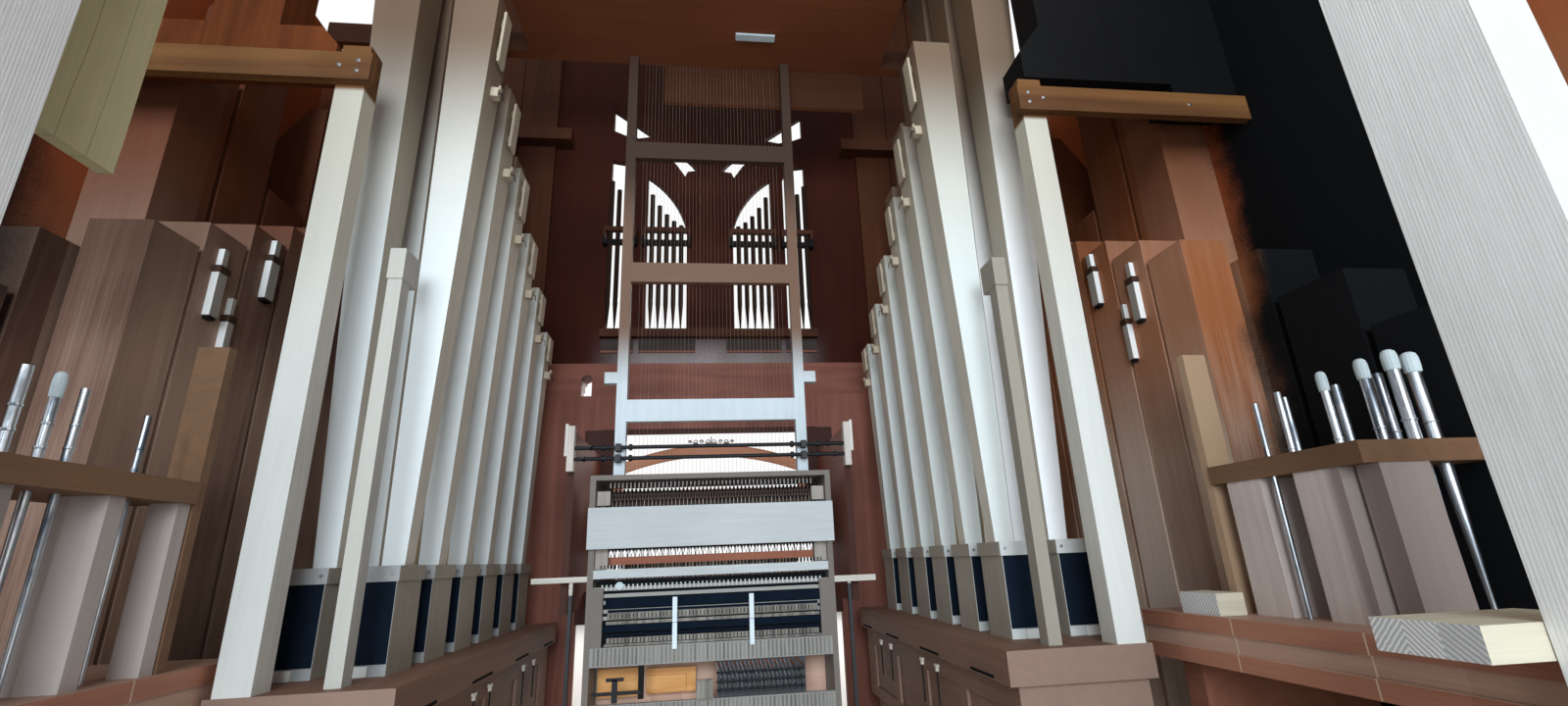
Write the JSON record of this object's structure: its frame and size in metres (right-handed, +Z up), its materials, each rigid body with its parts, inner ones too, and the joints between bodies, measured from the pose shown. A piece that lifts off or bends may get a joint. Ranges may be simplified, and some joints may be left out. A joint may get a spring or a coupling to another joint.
{
  "type": "pipe organ",
  "caption": "Mechanical pipe organ seen from its open back, with wooden reed resonators, key action, stained case and a playable front",
  "frame": {"origin": "Middle of the footprint, on the floor.", "axes": "+Z up, the show front and its key desk face -Y, the open back that the picture shows faces +Y, and X runs across the front."},
  "size_m": [3.3, 3.06, 4.5],
  "materials": {
    "stained_wood": "satin",
    "dark_case_wood": "satin",
    "brown_wood": "satin",
    "pale_wood": "satin",
    "aged_pale_wood": "satin",
    "pink_pale_wood": "satin",
    "red_brown_wood": "satin",
    "black_wood": "satin",
    "pipe_metal": "satin",
    "black_iron": "satin",
    "ivory_keys": "satin"
  },
  "bodies": {
    "root": {"base_frame": "stained_wood", "lower_front": "stained_wood", "impost": "stained_wood", "facade": "dark_case_wood", "crown": "stained_wood", "side_wall_left": "brown_wood", "side_wall_right": "brown_wood", "rear_frame": "pale_wood", "tower_backs": "brown_wood", "facade_racks": "black_wood", "facade_pipes": "pipe_metal", "tower_pipes": "pipe_metal", "great_chest": "brown_wood", "great_pipes": "pipe_metal", "ladder_frame": "aged_pale_wood", "pedal_chest_left": "brown_wood", "pedal_chest_right": "brown_wood", "toe_board_left": "brown_wood", "toe_board_right": "brown_wood", "reed_boots_left": "pale_wood", "reed_boots_right": "pale_wood", "resonators_left": "pale_wood", "resonators_right": "pale_wood", "stay_posts": "pale_wood", "frame_posts": "pale_wood", "outer_chest_left": "brown_wood", "outer_chest_right": "brown_wood", "rack_boards": "brown_wood", "square_boots": "pink_pale_wood", "metal_pipes_left": "pipe_metal", "metal_pipes_right": "pipe_metal", "bass_pipes_left": "red_brown_wood", "bass_pipes_right": "red_brown_wood", "turned_heads": "black_wood", "mouth_caps": "pink_pale_wood", "action_frame": "aged_pale_wood", "action_rails": "aged_pale_wood", "side_arms": "aged_pale_wood", "roller_board": "dark_case_wood", "roller_bearings": "aged_pale_wood", "key_desk": "stained_wood", "manuals": "ivory_keys", "music_desk": "red_brown_wood", "pedal_board": "pink_pale_wood", "packing_blocks": "pale_wood"},
    "upper_roller": {"upper_roller": "black_iron"},
    "lower_roller": {"lower_roller": "black_iron"}
  },
  "joints": [
    {"name": "upper_roller_turn", "type": "hinge", "parent": "root", "child": "upper_roller", "pos_m": [0, -0.328, 1.208], "axis": [1, 0, 0], "range_deg": [-15, 15]},
    {"name": "lower_roller_turn", "type": "hinge", "parent": "root", "child": "lower_roller", "pos_m": [0, -0.328, 1.168], "axis": [1, 0, 0], "range_deg": [-15, 15]}
  ]
}
